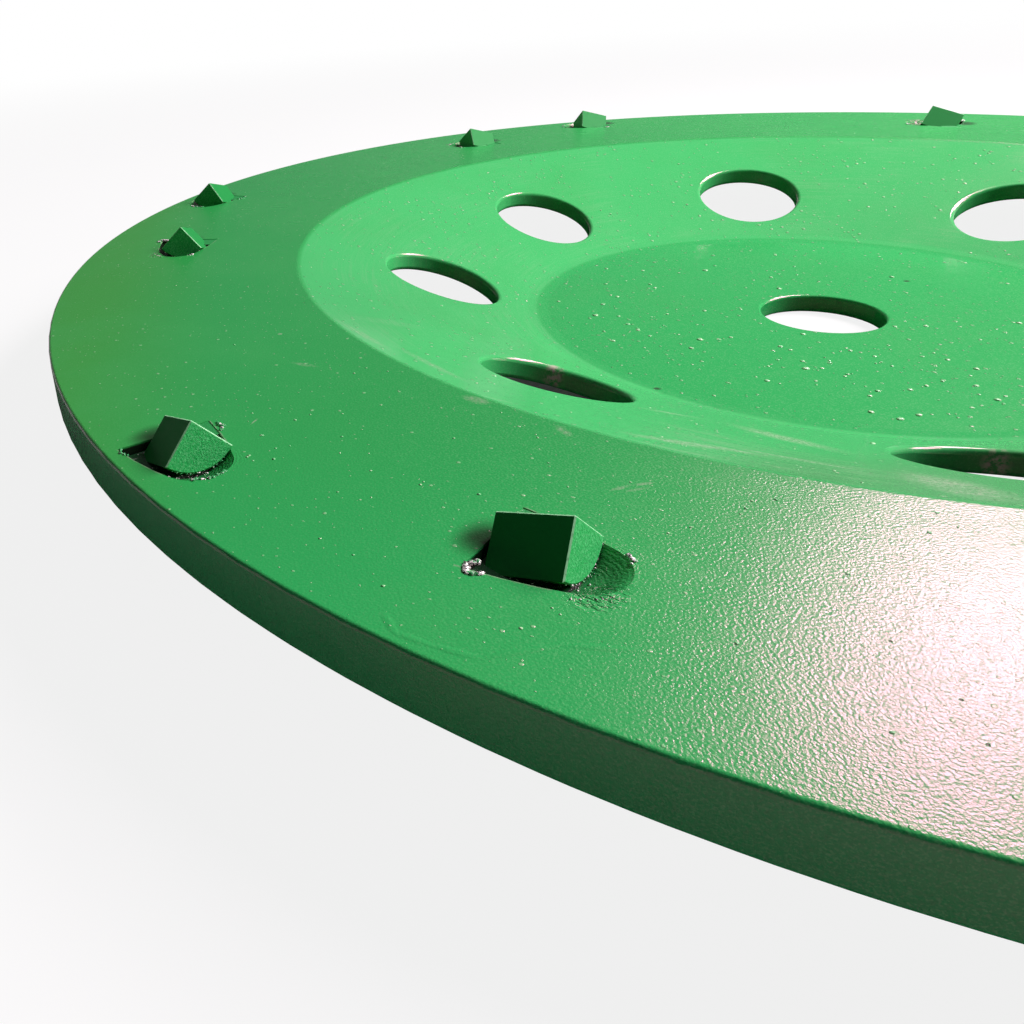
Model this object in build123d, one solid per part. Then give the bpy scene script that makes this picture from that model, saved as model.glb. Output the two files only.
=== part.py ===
from build123d import *
from math import cos, radians, sin
import os

# Diamond cup wheel for a floor grinder: a dished steel plate with quarter-round cutters
# brazed into round-bottomed pockets that are milled round its flat rim.
# Millimetres. +Z points to the working side. The origin is the centre of the hub's back face.

# Plate sizes
wheel_diameter = 304.8
rim_inner_diameter = 212.6
hub_diameter = 111.8
bore_diameter = 22.23
rim_thickness = 7.0
hub_thickness = 3.7
cone_thickness = 4.0  # measured upright, between the front and back cones
cup_depth = 17.0  # from the rim's working face down to the hub's front face

# Rounded edges of the plate
rim_edge_radius = 0.5
rim_inner_edge_radius = 1.5
hub_blend_radius = 14.0
cone_blend_radius = 6.0
bore_edge_radius = 0.6
vent_edge_radius = 0.8

# Vent holes in the cone
vent_count = 8
vent_diameter = 24.0
vent_circle_diameter = 153.2

# Turn of the whole pattern about the axis, from +X to the first vent hole and outer cutter
pattern_turn = 29.3

# Cutters: quarters of a round diamond compact, laid with the corner ridge up
cutter_radius = 6.5
cutter_length = 8.4
diamond_thickness = 1.6
cutter_tilt = 16.0  # the ridge falls away behind the cutting face by this angle
ridge_height = 4.95  # front end of the ridge above the rim's working face
cutter_chamfer = 0.15  # along the ridge and round the cutting face

# Rows of cutters: the outer row stands off the rim's edge, and the inner row leads it by an angle
cutters_per_row = 6
edge_to_outer_row = 9.1
outer_to_inner_row = 11.1
inner_row_lead = 18.5

# Pockets and braze
braze_gap = 0.5  # more than the cutter's radius, all round
pocket_shift = 0.55  # outwards, so that the cutter lies against its pocket's inner side
pocket_lead = 1.45  # from the cutting face forward to the centre of the pocket's round front end
pocket_end_gap = 0.6  # between the cutter's back end and the pocket's end wall
braze_set_back = 0.5  # from the cutting face back to where the braze starts
braze_set_down = 1.2  # from the rim's working face down to the braze
bank_length = 4.0  # from the pocket's end wall forward, where the braze banks up inside the cutter
bank_set_down = 0.1  # from the rim's working face down to the bank

# Levels and radii that follow from the sizes above
wheel_radius = wheel_diameter / 2
rim_inner_radius = rim_inner_diameter / 2
hub_radius = hub_diameter / 2
bore_radius = bore_diameter / 2
rim_face_level = hub_thickness + cup_depth
rim_back_level = rim_face_level - rim_thickness
cone_slope = cup_depth / (rim_inner_radius - hub_radius)
outer_row_radius = wheel_radius - edge_to_outer_row
inner_row_radius = outer_row_radius - outer_to_inner_row
pocket_radius = cutter_radius + braze_gap


def back_cone_radius(level):
    """Radius at which the back cone reaches a level."""
    return hub_radius + (level - hub_thickness + cone_thickness) / cone_slope


def rounded_corner(face, corner, radius):
    """Flat face with the corner nearest to a point rounded off."""
    nearest = face.vertices().sort_by_distance(corner)[0]
    return fillet(nearest, radius)


# Plate: one turned profile from the bore out to the rim
bore_back = (bore_radius, 0)
bore_front = (bore_radius, hub_thickness)
hub_back_edge = (back_cone_radius(0), 0)
hub_front_edge = (hub_radius, hub_thickness)
rim_back_inner = (back_cone_radius(rim_back_level), rim_back_level)
rim_front_inner = (rim_inner_radius, rim_face_level)
rim_back_outer = (wheel_radius, rim_back_level)
rim_front_outer = (wheel_radius, rim_face_level)

outline = Polyline(
    bore_back,
    hub_back_edge,
    rim_back_inner,
    rim_back_outer,
    rim_front_outer,
    rim_front_inner,
    hub_front_edge,
    bore_front,
    close=True,
)
profile = make_face(outline)
for corner, radius in [
    (bore_back, bore_edge_radius),
    (bore_front, bore_edge_radius),
    (hub_back_edge, hub_blend_radius),
    (hub_front_edge, hub_blend_radius),
    (rim_back_inner, cone_blend_radius),
    (rim_back_outer, rim_edge_radius),
    (rim_front_outer, rim_edge_radius),
    (rim_front_inner, rim_inner_edge_radius),
]:
    profile = rounded_corner(profile, (*corner, 0), radius)
plate = revolve(Plane.XZ * profile, Axis.Z)

# Vent holes: straight bores through the cone with rounded lips on both sides
vent_bore = Cylinder(vent_diameter / 2, 3 * rim_face_level)
vent_places = PolarLocations(vent_circle_diameter / 2, vent_count, start_angle=pattern_turn)
vent_bores = [place * vent_bore for place in vent_places]
vented_plate = plate - vent_bores
vent_lips = new_edges(plate, *vent_bores, combined=vented_plate).filter_by(GeomType.LINE, reverse=True)
vented_plate = fillet(vent_lips, vent_edge_radius)


def cutter_place(row_radius, angle):
    """Place of a cutting face: X out from the wheel's axis, Z back along the falling ridge."""
    tilt = radians(cutter_tilt)
    front = cutter_length / 2 * cos(tilt)
    face = Plane(
        origin=(row_radius, front, rim_face_level + ridge_height),
        x_dir=(1, 0, 0),
        z_dir=(0, -cos(tilt), -sin(tilt)),
    )
    return Rot(0, 0, angle) * face.location


def pocket_round(start, length):
    """Round bar that leaves the braze gap under a cutter, from a distance behind its face."""
    return Pos(pocket_shift, 0, start) * extrude(Circle(pocket_radius), length)


# Cutter: a quarter round with its corner up and its arc down, running back along Z from the
# cutting face, chamfered where it cuts, and parted into its diamond layer and carbide base
arc = CenterArc((0, 0), cutter_radius, 225, 90)
sector = make_face([Line((0, 0), arc @ 0), arc, Line(arc @ 1, (0, 0))])
blank = extrude(sector, cutter_length)
cutting_edges = blank.faces().sort_by(Axis.Z)[0].edges()
ridge_edge = blank.edges().filter_by(Axis.Z).sort_by_distance((0, 0, 0))[0]
cutter = chamfer([*cutting_edges, ridge_edge], cutter_chamfer)
diamond_joint = Plane.XY.offset(diamond_thickness)
diamond_layer = split(cutter, diamond_joint, keep=Keep.BOTTOM)
carbide_base = split(cutter, diamond_joint, keep=Keep.TOP)

# Each pocket runs forward along the tilted ridge and ends round in front of the cutting face,
# as a ball-nosed mill leaves it
pocket_end = cutter_length + pocket_end_gap
pocket_front = Pos(pocket_shift, 0, -pocket_lead) * Sphere(pocket_radius)
pocket = pocket_round(-pocket_lead, pocket_lead + pocket_end) + pocket_front

# The braze fills the bottom of each pocket behind the cutting face, and banks up nearly to the
# rim's face in the corner between the cutter's inner side and the pocket's end wall
braze_bed = pocket_round(braze_set_back, pocket_end - braze_set_back)
braze_top = Plane.XY.offset(rim_face_level - braze_set_down)
braze_bank = split(pocket_round(pocket_end - bank_length, bank_length), Plane.YZ, keep=Keep.BOTTOM)
bank_top = Plane.XY.offset(rim_face_level - bank_set_down)

cutter_rows = [
    ("outer", outer_row_radius, pattern_turn),
    ("inner", inner_row_radius, pattern_turn + inner_row_lead),
]

pieces = {}
pockets = []
for row, row_radius, row_turn in cutter_rows:
    for number in range(cutters_per_row):
        place = cutter_place(row_radius, row_turn + number * 360 / cutters_per_row)
        bed = split(place * braze_bed, braze_top, keep=Keep.BOTTOM)
        bank = split(place * braze_bank, bank_top, keep=Keep.BOTTOM)
        pieces[f"diamond_layer_{row}_{number + 1}"] = place * diamond_layer
        pieces[f"carbide_base_{row}_{number + 1}"] = place * carbide_base
        pieces[f"braze_joint_{row}_{number + 1}"] = bed + bank - place * cutter
        pockets.append(place * pocket)

pieces["wheel_body"] = vented_plate - pockets

# One STEP file for each piece
os.makedirs("parts", exist_ok=True)
for name, piece in pieces.items():
    export_step(piece, f"parts/{name}.step")
    print(name, round(piece.volume, 2), len(piece.solids()), piece.is_valid)
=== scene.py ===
"""Looks of a painted diamond cup wheel: enamel, painted cutters, braze spills, studio and camera.

Blender works in metres, in the frame of the CAD model: +Z points to the working side and the
origin is the centre of the hub's back face. Sizes in the classes below are millimetres unless a
name says otherwise, because the wheel was designed in millimetres.
"""

import logging
import math
import random
from dataclasses import dataclass
from enum import Enum
from functools import cached_property, reduce

import bmesh
import bpy
from mathutils import Matrix, Vector, noise


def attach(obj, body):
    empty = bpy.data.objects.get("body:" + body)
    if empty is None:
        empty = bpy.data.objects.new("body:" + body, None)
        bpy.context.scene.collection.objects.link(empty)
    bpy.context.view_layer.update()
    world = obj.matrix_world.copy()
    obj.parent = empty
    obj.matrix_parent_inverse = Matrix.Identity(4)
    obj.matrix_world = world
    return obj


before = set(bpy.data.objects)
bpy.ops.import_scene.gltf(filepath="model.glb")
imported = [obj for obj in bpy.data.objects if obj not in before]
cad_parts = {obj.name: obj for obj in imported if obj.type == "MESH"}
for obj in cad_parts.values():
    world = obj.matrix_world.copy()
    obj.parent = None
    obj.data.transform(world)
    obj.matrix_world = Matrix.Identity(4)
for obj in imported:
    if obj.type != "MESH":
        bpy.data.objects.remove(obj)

MM = 0.001
LOG = logging.getLogger("cup_wheel")

Socket = bpy.types.NodeSocket
Color = tuple[float, float, float, float]
Point = tuple[float, float, float]
FlatPoint = tuple[float, float]  # a place on a level face
Span = tuple[float, float]  # where a range or a soft step starts and ends
Step = tuple[float, float, float, float]  # where a soft step starts and ends, and its result there
Oval = tuple[Point, Point]  # middle and half sizes
Noise = tuple[float, float, float]  # size of the largest lumps, octaves of finer ones and share of each

WHITE: Color = (1.0, 1.0, 1.0, 1.0)


class Row(Enum):
    """The two rows of cutters, by the name that their nodes carry."""

    OUTER = "outer"
    INNER = "inner"


class Piece(Enum):
    """Kinds of CAD node, by the start of their names."""

    PLATE = "wheel_body"
    CARBIDE = "carbide_base"
    DIAMOND = "diamond_layer"
    BRAZE = "braze_joint"


@dataclass(frozen=True)
class Mottle:
    """Soft patches of noise, by the noise values where they start and end and the result there."""

    size: float
    octaves: float
    rough: float
    low: float
    high: float
    start: float = 0.0
    end: float = 1.0


class Graph:
    """Adds and links the shader nodes of one material or world."""

    least_nib: float = 0.35  # share of the largest nib's radius
    nib_slope: float = 0.55  # share of a nib's radius over which it rises
    spot_core: float = 0.2  # share of a spot's size that is at full strength
    noise_middle: float = 0.5  # what the values of noise lie about

    def __init__(self, tree: bpy.types.NodeTree) -> None:
        """Starts on a node tree, which loses the nodes that it has."""
        self.tree = tree
        tree.nodes.clear()

    def add(self, kind: str, **settings: object) -> bpy.types.Node:
        """Adds one node.

        Args:
            kind: The node's type name without the ShaderNode prefix.
            settings: Properties to set on the node.

        Returns:
            The new node.
        """
        node = self.tree.nodes.new("ShaderNode" + kind)
        for name, value in settings.items():
            setattr(node, name, value)
        return node

    def feed(self, socket: Socket, value: object) -> None:
        """Links a socket to a value's socket, or sets it where the value is plain.

        Args:
            socket: The input.
            value: An output socket, a number, a vector or a colour.
        """
        if isinstance(value, bpy.types.NodeSocket):
            self.tree.links.new(value, socket)
        else:
            socket.default_value = value

    def fed(self, node: bpy.types.Node, *values: object) -> bpy.types.Node:
        """Feeds a node's first inputs.

        Args:
            node: The node.
            values: Their values, in order.

        Returns:
            The same node.
        """
        for socket, value in zip(node.inputs, values):
            self.feed(socket, value)
        return node

    @cached_property
    def place(self) -> Socket:
        """Gives the object's coordinates in millimetres."""
        return self.vector("MULTIPLY", self.add("TexCoord").outputs["Object"], (1 / MM, 1 / MM, 1 / MM))

    @cached_property
    def xyz(self) -> tuple[Socket, Socket, Socket]:
        """Gives the three parts of the place."""
        return self.parts(self.place)

    @cached_property
    def normal(self) -> Socket:
        """Gives the surface's normal, without the bump."""
        return self.add("NewGeometry").outputs["Normal"]

    @cached_property
    def rise(self) -> Socket:
        """Tells how far the surface faces up, from -1 to 1."""
        return self.parts(self.normal)[2]

    def math(self, operation: str, *values: object, clamp: bool = False) -> Socket:
        """Adds a Math node.

        Args:
            operation: Its operation, such as MULTIPLY.
            values: Its inputs, as sockets or numbers.
            clamp: Whether the result is held between 0 and 1.

        Returns:
            The result's socket.
        """
        return self.fed(self.add("Math", operation=operation, use_clamp=clamp), *values).outputs[0]

    def product(self, *values: object) -> Socket:
        """Multiplies several numbers."""
        return reduce(lambda result, value: self.math("MULTIPLY", result, value), values)

    def total(self, *values: object) -> Socket:
        """Adds up several numbers."""
        return reduce(lambda result, value: self.math("ADD", result, value), values)

    def largest(self, *values: object) -> Socket:
        """Gives the largest of several numbers."""
        return reduce(lambda result, value: self.math("MAXIMUM", result, value), values)

    def minus(self, value: object, other: object) -> Socket:
        """Takes one number from another."""
        return self.math("SUBTRACT", value, other)

    def vector(self, operation: str, *values: object) -> Socket:
        """Adds a Vector Math node.

        Args:
            operation: Its operation, such as LENGTH or ADD.
            values: Its inputs, as sockets, vectors or numbers.

        Returns:
            The result's socket: a number for LENGTH and DOT_PRODUCT, and a vector for the others.
        """
        node = self.fed(self.add("VectorMath", operation=operation), *values)
        return node.outputs["Value" if operation in ("LENGTH", "DOT_PRODUCT") else "Vector"]

    def scaled(self, vector: Socket, factor: float) -> Socket:
        """Multiplies a vector by a number.

        Args:
            vector: The vector.
            factor: The number.

        Returns:
            The longer or shorter vector's socket.
        """
        node = self.fed(self.add("VectorMath", operation="SCALE"), vector)
        self.feed(node.inputs["Scale"], factor)
        return node.outputs["Vector"]

    def parts(self, vector: Socket) -> tuple[Socket, Socket, Socket]:
        """Splits a vector into its three parts."""
        return tuple(self.fed(self.add("SeparateXYZ"), vector).outputs)

    def joined(self, *values: object) -> Socket:
        """Joins three numbers into a vector."""
        return self.fed(self.add("CombineXYZ"), *values).outputs[0]

    def ramp(self, value: Socket, low: float, high: float, start: float = 0.0, end: float = 1.0) -> Socket:
        """Adds a smooth step from one level to another.

        Args:
            value: The value that drives the step.
            low: Where the step starts.
            high: Where the step ends, which may be below low.
            start: The result at low.
            end: The result at high.

        Returns:
            The result's socket.
        """
        if low > high:
            low, high, start, end = high, low, end, start
        return self.fed(self.add("MapRange", interpolation_type="SMOOTHSTEP"), value, low, high, start, end).outputs[0]

    def noise(
        self, place: Socket, size: float, octaves: float = 2.0, rough: float = 0.5, output: str = "Fac"
    ) -> Socket:
        """Adds a noise texture.

        Args:
            place: The coordinates, in millimetres.
            size: Size of its largest lumps, in millimetres.
            octaves: Octaves of finer lumps.
            rough: Share of each finer octave.
            output: The output that is wanted, which is a value or a colour.

        Returns:
            The output's socket.
        """
        node = self.add("TexNoise")
        inputs = {"Vector": place, "Scale": 1.0 / size, "Detail": octaves, "Roughness": rough}
        for name, value in inputs.items():
            self.feed(node.inputs[name], value)
        return node.outputs[output]

    def mottle(self, place: Socket, patches: Mottle) -> Socket:
        """Draws soft patches of noise.

        Args:
            place: The coordinates, in millimetres.
            patches: Their sizes and levels.

        Returns:
            The result's socket.
        """
        value = self.noise(place, patches.size, patches.octaves, patches.rough)
        return self.ramp(value, patches.low, patches.high, patches.start, patches.end)

    def blend(self, factor: object, first: object, second: object) -> Socket:
        """Mixes two colours.

        Args:
            factor: Share of the second colour.
            first: The first colour or its socket.
            second: The second colour or its socket.

        Returns:
            The mixed colour's socket.
        """
        node = self.add("Mix", data_type="RGBA")
        for index, value in ((0, factor), (6, first), (7, second)):
            self.feed(node.inputs[index], value)
        return node.outputs[2]

    def mixed(self, factor: Socket, first: bpy.types.Node, second: bpy.types.Node) -> bpy.types.Node:
        """Mixes two shaders by the share of the second one."""
        return self.fed(self.add("MixShader"), factor, first.outputs[0], second.outputs[0])

    def nibs(self, place: Socket, spacing: float, radius: float, share: object) -> Socket:
        """Scatters small round nibs, as dust leaves in sprayed paint.

        Args:
            place: The coordinates, in millimetres.
            spacing: Distance between the places where a nib may be.
            radius: Radius of the largest nibs.
            share: Share of the places that hold one, as a number or a socket.

        Returns:
            A value of 1 at the middle of each nib and 0 away from it.
        """
        cells = self.add("TexVoronoi", voronoi_dimensions="2D", feature="F1")
        self.feed(cells.inputs["Vector"], place)
        self.feed(cells.inputs["Scale"], 1.0 / spacing)
        draw = self.fed(self.add("SeparateColor"), cells.outputs["Color"])
        holds_one = self.math("LESS_THAN", draw.outputs[0], share)
        least = self.least_nib * radius / spacing
        width = self.math("MULTIPLY_ADD", draw.outputs[1], radius / spacing - least, least)
        near = self.math("SUBTRACT", 1.0, self.math("DIVIDE", cells.outputs["Distance"], width), clamp=True)
        return self.product(holds_one, self.ramp(near, 0.0, self.nib_slope))

    def spot(self, place: Socket, middle: Point, half_sizes: Point, turn: float = 0.0) -> Socket:
        """Marks an oval spot with soft edges.

        Args:
            place: The coordinates, in millimetres.
            middle: The spot's middle.
            half_sizes: Its half length, half width and half height.
            turn: Turn of its length about the wheel's axis, from +X, in degrees.

        Returns:
            A value of 1 at the middle that falls to 0 at the spot's edge.
        """
        node = self.add("Mapping", vector_type="TEXTURE")
        self.fed(node, place, middle, (0.0, 0.0, math.radians(turn)), half_sizes)
        return self.ramp(self.vector("LENGTH", node.outputs[0]), 1.0, self.spot_core)

    def spots(self, middles: tuple[Point, ...], half_sizes: Point) -> list[Socket]:
        """Marks several spots of one size."""
        return [self.spot(self.place, middle, half_sizes) for middle in middles]

    def seen_white(self, mirrored_share: Socket) -> Socket:
        """Tells which rays see a white backdrop.

        Args:
            mirrored_share: The share of it that mirrored and transmitted rays see.

        Returns:
            A value of 1 for the camera's rays, and that share for mirrored and transmitted ones.
        """
        path = self.add("LightPath")
        mirrored = self.largest(path.outputs["Is Glossy Ray"], path.outputs["Is Transmission Ray"])
        return self.largest(path.outputs["Is Camera Ray"], self.product(mirrored, mirrored_share))

    def surface(self, height: Socket, inputs: dict[str, object]) -> None:
        """Builds the surface's shader.

        Args:
            height: The relief's height, in millimetres.
            inputs: The shader's other inputs, by name.
        """
        bump = self.add("Bump")
        self.feed(bump.inputs["Height"], height)
        self.feed(bump.inputs["Distance"], MM)
        shader = self.add("BsdfPrincipled")
        for name, value in {**inputs, "Normal": bump.outputs[0]}.items():
            self.feed(shader.inputs[name], value)
        self.finish(shader)

    def finish(self, shader: bpy.types.Node, output: str = "OutputMaterial") -> None:
        """Sends a shader to the surface output."""
        self.feed(self.add(output).inputs["Surface"], shader.outputs[0])


@dataclass(frozen=True)
class Finish:
    """A finish with a material of its own name."""

    name: str

    @cached_property
    def material(self) -> bpy.types.Material:
        """Makes the finish's material, once.

        Returns:
            The material.
        """
        material = bpy.data.materials.new(self.name)
        material.use_nodes = True
        return material

    @cached_property
    def graph(self) -> Graph:
        """Gives the graph of its material."""
        return Graph(self.material.node_tree)


@dataclass(frozen=True)
class CutterForm:
    """Sizes that every cutter and its pocket share with the CAD model."""

    radius: float = 6.5
    length: float = 8.4
    tilt: float = 16.0
    ridge_height: float = 4.95
    rim_level: float = 20.7
    pocket_radius: float = 7.0
    pocket_shift: float = 0.55
    pocket_lead: float = 1.45
    pocket_end_gap: float = 0.6

    def front(self) -> float:
        """Gives the level distance from the cutter's middle forward to the top of its cutting face."""
        return self.length / 2 * math.cos(math.radians(self.tilt))

    def end(self) -> float:
        """Gives the level distance from the cutting face back to the pocket's end."""
        return (self.length + self.pocket_end_gap) * math.cos(math.radians(self.tilt))

    def lead(self) -> float:
        """Gives the level distance from the cutting face forward to the middle of the pocket's round end."""
        return self.pocket_lead * math.cos(math.radians(self.tilt))


@dataclass(frozen=True)
class CutterRow:
    """One row of evenly spaced cutters."""

    row: Row
    radius: float
    turn: float
    seed: int
    count: int = 6
    form: CutterForm = CutterForm()

    def beside(self, graph: Graph) -> Socket:
        """Folds the wheel onto one cutter of the row.

        Args:
            graph: The graph to add to.

        Returns:
            The distances out from the ridge line, back from the cutting face and up from the rim.
        """
        x, y, z = graph.xyz
        step = math.tau / self.count
        angle = graph.minus(graph.math("ARCTAN2", y, x), math.radians(self.turn))
        angle = graph.math("WRAP", angle, step / 2, -step / 2)
        away = graph.vector("LENGTH", graph.joined(x, y, 0.0))
        outward = graph.minus(graph.product(away, graph.math("COSINE", angle)), self.radius)
        back = graph.minus(self.form.front(), graph.product(away, graph.math("SINE", angle)))
        return graph.joined(outward, back, graph.minus(z, self.form.rim_level))


@dataclass
class PocketPaint:
    """Paint at the pockets of one row, placed out from the ridge, back from the cutting face and up from the rim."""

    graph: Graph
    row: CutterRow
    lip_width: Span = (0.20, 0.05)
    lip_level: Span = (-0.6, -0.2)
    lip_start: Span = (-2.2, -0.6)
    pocket: Oval = ((0.6, 1.2, -1.5), (8.4, 10.5, 12.0))
    pocket_edge: float = 0.01
    # painted shade: the pockets darken with depth
    dark_level: Span = (-0.15, -1.1)
    dark_share: float = 0.75
    # painted shade under each cutter's arc, at the pocket's inner front corner and its outer side, and painted shadow
    # behind the cutter
    under_shade_level: Span = (0.0, -0.3)
    under_shade_start: Span = (-0.9, -0.4)
    corner: Oval = ((-3.0, -0.8, -1.3), (2.8, 1.6, 1.3))
    outer_side: Oval = ((4.8, 5.8, -1.2), (4.8, 5.5, 1.5))
    behind: Oval = ((1.4, 8.8, -0.3), (4.6, 3.4, 3.0))
    behind_share: float = 0.75
    rippled: Oval = ((-2.4, -3.2, -0.5), (4.4, 3.8, 5.0))
    ripple_level: Step = (0.1, -0.2, 0.35, 1.0)
    ripple_spacing: float = 0.45
    ripple_shake: Noise = (0.9, 3.0, 0.65)
    ripple_shift: float = 17.0
    ripple_height: float = 0.024
    creased: Oval = ((3.2, -4.0, 0.0), (4.4, 3.2, 6.0))
    crease_squeeze: Point = (1.35, 0.60, 1.0)
    creases_in_paint: Mottle = Mottle(0.8, 3.0, 0.6, 0.38, 0.62, -0.5, 0.5)
    crease_height: float = 0.34

    @cached_property
    def beside(self) -> Socket:
        """Gives the place beside the nearest cutter."""
        return self.row.beside(self.graph)

    @cached_property
    def parts(self) -> tuple[Socket, Socket, Socket]:
        """Gives the distances out, back and up of that place."""
        return self.graph.parts(self.beside)

    @cached_property
    def side(self) -> Socket:
        """Gives the distance out from the pocket's middle line."""
        return self.graph.minus(self.parts[0], self.row.form.pocket_shift)

    @cached_property
    def near(self) -> Socket:
        """Tells whether a place is in or close to a pocket."""
        return self.graph.math("GREATER_THAN", self.graph.spot(self.beside, *self.pocket), self.pocket_edge)

    def lip(self) -> Socket:
        """Marks the edge of each pocket in the rim's face, where a painted highlight goes.

        Returns:
            A value of 1 on the edge and 0 away from it.
        """
        graph, form = self.graph, self.row.form
        tilt = math.radians(form.tilt)
        _, back, above = self.parts
        drop = graph.math("MULTIPLY_ADD", back, -math.sin(tilt), form.ridge_height * math.cos(tilt))
        reach = graph.minus(form.pocket_radius**2, graph.product(drop, drop))
        half = graph.math("SQRT", graph.math("MAXIMUM", reach, 0.0))
        away = graph.math("ABSOLUTE", graph.minus(graph.math("ABSOLUTE", self.side), half))
        line = graph.product(graph.ramp(away, *self.lip_width), graph.ramp(above, *self.lip_level))
        return graph.product(line, graph.math("LESS_THAN", back, form.end()), graph.ramp(back, *self.lip_start))

    def dark(self) -> Socket:
        """Gives the share of painted shade inside each pocket, which grows with depth."""
        return self.graph.product(self.graph.ramp(self.parts[2], *self.dark_level), self.near, self.dark_share)

    def soot_and_shade(self) -> Socket:
        """Marks the painted shade under each cutter and in two spots of its pocket, and the painted shadow behind it.

        Returns:
            The share of painted shade.
        """
        graph = self.graph
        _, back, above = self.parts
        under = graph.product(self.near, graph.ramp(above, *self.under_shade_level), graph.ramp(back, *self.under_shade_start))
        behind = graph.product(graph.spot(self.beside, *self.behind), self.behind_share)
        shade_spots = [graph.spot(self.beside, *stain) for stain in (self.corner, self.outer_side)]
        return graph.largest(under, behind, *shade_spots)

    def ripples(self) -> Socket:
        """Draws the round ripples of paint on the inner side of each pocket's front end.

        Returns:
            Their height, in millimetres.
        """
        graph = self.graph
        _, back, above = self.parts
        from_end = graph.joined(self.side, graph.total(back, self.row.form.lead()), 0.0)
        away = graph.product(graph.vector("LENGTH", from_end), math.tau / self.ripple_spacing)
        shaken = graph.math("MULTIPLY_ADD", graph.noise(self.beside, *self.ripple_shake), self.ripple_shift, away)
        near = graph.product(graph.spot(self.beside, *self.rippled), graph.ramp(above, *self.ripple_level))
        return graph.product(graph.math("SINE", shaken), near, self.ripple_height)

    def creases(self) -> Socket:
        """Draws the creased paint outside each pocket's front end.

        Returns:
            Their height, in millimetres.
        """
        graph = self.graph
        squeezed = graph.vector("MULTIPLY", self.beside, self.crease_squeeze)
        folds = graph.mottle(squeezed, self.creases_in_paint)
        return graph.product(folds, graph.spot(self.beside, *self.creased), self.crease_height)


@dataclass(frozen=True)
class Rub:
    """A dusty rub mark: its middle, half length and half width, turn and strength."""

    x: float
    y: float
    z: float
    half_length: float
    half_width: float
    turn: float
    strength: float


@dataclass(frozen=True)
class NibLayer:
    """Painted nibs of one size: spacing, largest radius, least share, and the share that crowding adds."""

    spacing: float
    radius: float
    least: float
    crowded: float


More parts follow.
